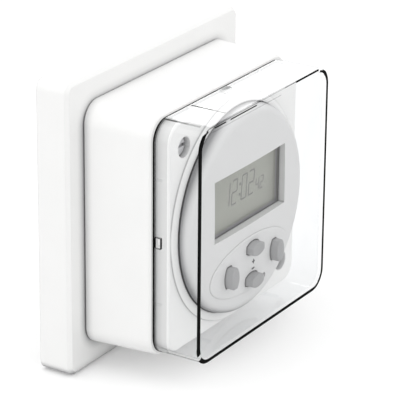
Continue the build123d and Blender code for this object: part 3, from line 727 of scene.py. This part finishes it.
def cover_ring(side, corner, inset, depth, stops):
    """A rounded square, its upper and lower sides divided at the stops."""
    outline = rounded_square(side - 2 * inset, max(corner - inset, corner_least))
    places = []
    for i, (x, z) in enumerate(outline):
        places.append(point(x, depth, z))
        length = outline[(i + 1) % len(outline)][0] - x
        if abs(length) > chord_limit:
            shares = sorted((stop - x) / length for stop in stops)
            places += [point(x + length * share, depth, z) for share in shares]
    return places


def build_cover():
    """One skin, from the pane's back down the inner walls, round the rim and up the outer walls."""
    inner_corner = cover_corner_radius - cover_wall
    pane_back = cover_front - cover_pane
    ends = [side_place(end) for line in front_lines + back_lines for end in line[:2]]
    stops = sorted({round(end, 3) for end in ends if end is not None})
    outer = [(0.0, cover_back + out) for out in wall_stops]
    for turn in edge_turns:
        angle = math.radians(turn)
        outer.append((cover_round * (1 - math.cos(angle)), cover_front - cover_round * (1 - math.sin(angle))))
    outer += [(inset, cover_front) for inset in pane_stops]
    inner = [(0.0, cover_back + out) for out in wall_stops]
    for i in range(4):
        turn = math.pi / 2 * i / 3
        inner.append((cover_inner_round * (1 - math.cos(turn)),
                      pane_back - cover_inner_round * (1 - math.sin(turn))))
    inner.append((pane_stops[-1], pane_back))
    sections = [(cover_inner_side, inner_corner, inset, depth) for inset, depth in inner[::-1]]
    sections += [
        (cover_inner_side, inner_corner, -cover_back_cut, cover_back),
        (cover_inner_side, inner_corner, -cover_wall / 2, cover_back),
        (cover_side, cover_corner_radius, cover_back_cut, cover_back),
    ]
    sections += [(cover_side, cover_corner_radius, inset, depth) for inset, depth in outer]
    form = bmesh.new()
    loft(form, [cover_ring(*section, stops) for section in sections])
    cover = from_bmesh("clear_cover_shell", form, cover_clear)
    catch = rectangle(catch_window_width, catch_cutter, 0, cover_side / 2 - cover_wall / 2)
    depths = catch_window_back, catch_window_front
    cut(cover, [prism(f"catch_cutter_{turn}", quarter_turns(catch, turn), *depths) for turn in range(4)])
    even_normals(cover)
    return cover


def build_guides(steps=8):
    """Eight low ribs on the inner sides, sunk into the wall."""
    form = bmesh.new()
    for turn in range(4):
        length = guide_lengths[turn % 2]
        depths = [cover_back + length * i / steps for i in range(steps + 1)]
        for sign in (-1, 1):
            rib = rectangle(guide_width, guide_height, sign * guide_offset, cover_inner_side / 2 + guide_sunk)
            extrude(form, quarter_turns(rib, turn), depths)
    return from_bmesh("clear_cover_guides", form, cover_clear)


def way_round(x, z):
    """How far round the cover a place lies, and how far in from its outer side."""
    out_x, out_z = abs(x) - cover_reach, abs(z) - cover_reach
    if out_x > 0 and out_z > 0:
        turn = math.atan2(out_z, out_x) * cover_corner_radius
        if x * z > 0:
            turn = cover_arc - turn
        laps = int(x > 0) if z > 0 else 3 - int(x > 0)
        return cover_reach + laps * cover_lap + turn, cover_corner_radius - math.hypot(out_x, out_z)
    if out_x > out_z:
        return (z if x < 0 else 2 * cover_lap - z), cover_corner_radius - out_x
    return (cover_lap + x if z > 0 else 3 * cover_lap - x), cover_corner_radius - out_z


def in_stretch(way, start, stop):
    """Whether a way round lies in a stretch, which may start below zero."""
    return start < way < stop or start < way - 4 * cover_lap < stop


def darkness(x, depth, z):
    """How dark the cover's painted shade is at a place: its catch windows, front lines and back lines."""
    way, inset = way_round(x, z)
    across, along = max(abs(x), abs(z)), min(abs(x), abs(z))
    in_window = catch_window_back - tolerance < depth < catch_window_front + tolerance
    if in_window and window_inset_least < cover_side / 2 - across < window_inset_most:
        end_shade, edge_shade = top_window_shades if z > abs(x) else other_window_shades
        if abs(along - catch_window_width / 2) < tolerance:
            return end_shade
        if along < catch_window_width / 2:
            return edge_shade
    if depth > cover_front - cover_round - tolerance:
        shades = [dark for start, stop, near, far, dark in front_lines
                  if near < inset < far and in_stretch(way, start, stop)]
    else:
        shades = [dark for start, stop, near, far, low, high, dark in back_lines
                  if near < inset < far and low < depth - cover_back < high and in_stretch(way, start, stop)]
    return max(shades, default=0.0)


def mark_rim(piece):
    """Keep for each face how dark its painted shade is."""
    mesh = piece.data
    values = [darkness(face.center.x / MM, -face.center.y / MM, face.center.z / MM) for face in mesh.polygons]
    layer = mesh.attributes.new("rim", "FLOAT", "FACE")
    layer.data.foreach_set("value", values)


def let_light_through(piece):
    """A clear piece neither casts a shadow nor dims what is behind it."""
    piece.visible_shadow = False
    piece.visible_diffuse = False


cover = build_cover()
mark_rim(cover)
for piece in (cover, build_guides()):
    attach(piece, "cover")
    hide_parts("clear_cover")
    let_light_through(piece)
let_light_through(frame["nodes"]["display_lens"])


# The floor, the light and the camera, in metres

floor_reach, floor_drop, floor_tone, floor_glow = 3, 0.0001, 0.8, 0.23
sky_level = 0.88
lamp_target = (0, -0.02, 0)
camera_azimuth, camera_elevation, camera_roll = -57.704, 22.1045, 0.5201
camera_distance, camera_right, camera_down = 0.70881, 0.021048, 0.005839
picture_width, focal_length, sensor_width = 400, 2469.65, 36.0


def seen_straight(tree):
    """One for rays from the camera or off a mirror, and zero for the rest."""
    path = node(tree, "ShaderNodeLightPath")
    seen = node(tree, "ShaderNodeMath", operation="MAXIMUM")
    tree.links.new(path.outputs["Is Camera Ray"], seen.inputs[0])
    tree.links.new(path.outputs["Is Glossy Ray"], seen.inputs[1])
    return seen.outputs["Value"]


def build_floor():
    """A pale floor, a little brighter to the camera than its light makes it."""
    mesh = bpy.data.meshes.new("floor")
    low = cad_box[0][2] - floor_drop
    corners = [(x * floor_reach, y * floor_reach, low) for x, y in ((-1, -1), (1, -1), (1, 1), (-1, 1))]
    mesh.from_pydata(corners, [], [(0, 1, 2, 3)])
    made = bpy.data.materials.new("floor")
    made.use_nodes = True
    tree = made.node_tree
    tree.nodes.clear()
    link = tree.links.new
    matt = node(tree, "ShaderNodeBsdfDiffuse")
    matt.inputs["Color"].default_value = (floor_tone, floor_tone, floor_tone, 1)
    glow = node(tree, "ShaderNodeEmission")
    glow.inputs["Color"].default_value = (1, 1, 1, 1)
    link(product(tree, seen_straight(tree), floor_glow), glow.inputs["Strength"])
    both = node(tree, "ShaderNodeAddShader")
    link(matt.outputs["BSDF"], both.inputs[0])
    link(glow.outputs["Emission"], both.inputs[1])
    out = node(tree, "ShaderNodeOutputMaterial")
    link(both.outputs["Shader"], out.inputs["Surface"])
    new_object("floor", mesh, made)


def build_world():
    """An even sky, which the camera and mirrors see as white."""
    world = bpy.data.worlds.new("studio")
    bpy.context.scene.world = world
    world.use_nodes = True
    tree = world.node_tree
    tree.nodes.clear()
    sky = node(tree, "ShaderNodeBackground")
    sky.inputs["Color"].default_value = (1, 1, 1, 1)
    tree.links.new(map_range(tree, seen_straight(tree), to_min=sky_level, to_max=1.0), sky.inputs["Strength"])
    out = node(tree, "ShaderNodeOutputWorld")
    tree.links.new(sky.outputs["Background"], out.inputs["Surface"])


def area_light(name, place, target, width, height, power):
    """A soft lamp turned to its target. Places and sizes are in metres, the power is in watts."""
    lamp = bpy.data.lights.new(name, "AREA")
    lamp.shape = "RECTANGLE"
    lamp.size = width
    lamp.size_y = height
    lamp.energy = power
    shown = bpy.data.objects.new(name, lamp)
    bpy.context.scene.collection.objects.link(shown)
    shown.location = place
    shown.rotation_euler = (Vector(target) - Vector(place)).to_track_quat("-Z", "Y").to_euler()
    return shown


def build_lights():
    """Four soft lamps, and a weak one that shows only as a mirrored sheen on the cover's top."""
    area_light("overhead", (-0.15, 0.08, 0.75), lamp_target, 0.7, 0.7, power=1.4)
    area_light("left", (-0.8, 0.1, 0.25), lamp_target, 0.5, 0.5, power=0.75)
    area_light("front", (-0.35, -0.9, 0.35), lamp_target, 0.5, 0.5, power=0.4)
    area_light("right", (0.7, -0.6, 0.35), lamp_target, 0.6, 0.6, power=0.8)
    sheen = area_light("top_softbox", (0.254, 0.12, 0.145), (0, -0.04, 0.034), 0.16, 0.05, power=0.06)
    sheen.visible_diffuse = False


def build_camera():
    """The photograph's camera, solved from the straight edges of the object."""
    azimuth, elevation, roll = [math.radians(a) for a in (camera_azimuth, camera_elevation, camera_roll)]
    back = Vector((math.sin(azimuth) * math.cos(elevation), -math.cos(azimuth) * math.cos(elevation),
                   math.sin(elevation)))
    right = Vector((math.cos(azimuth), math.sin(azimuth), 0))
    up = back.cross(right)
    turned_right = right * math.cos(roll) + up * math.sin(roll)
    turned_up = up * math.cos(roll) - right * math.sin(roll)
    matrix = Matrix((turned_right, turned_up, back)).transposed().to_4x4()
    matrix.translation = back * camera_distance + turned_right * camera_right - turned_up * camera_down
    lens = bpy.data.cameras.new("camera")
    lens.sensor_width = sensor_width
    lens.lens = sensor_width * focal_length / picture_width
    lens.clip_start = 0.01
    camera = bpy.data.objects.new("camera", lens)
    bpy.context.scene.collection.objects.link(camera)
    camera.matrix_world = matrix
    bpy.context.scene.camera = camera


build_floor()
build_world()
build_lights()
build_camera()
bpy.context.scene.view_settings.view_transform = "Standard"
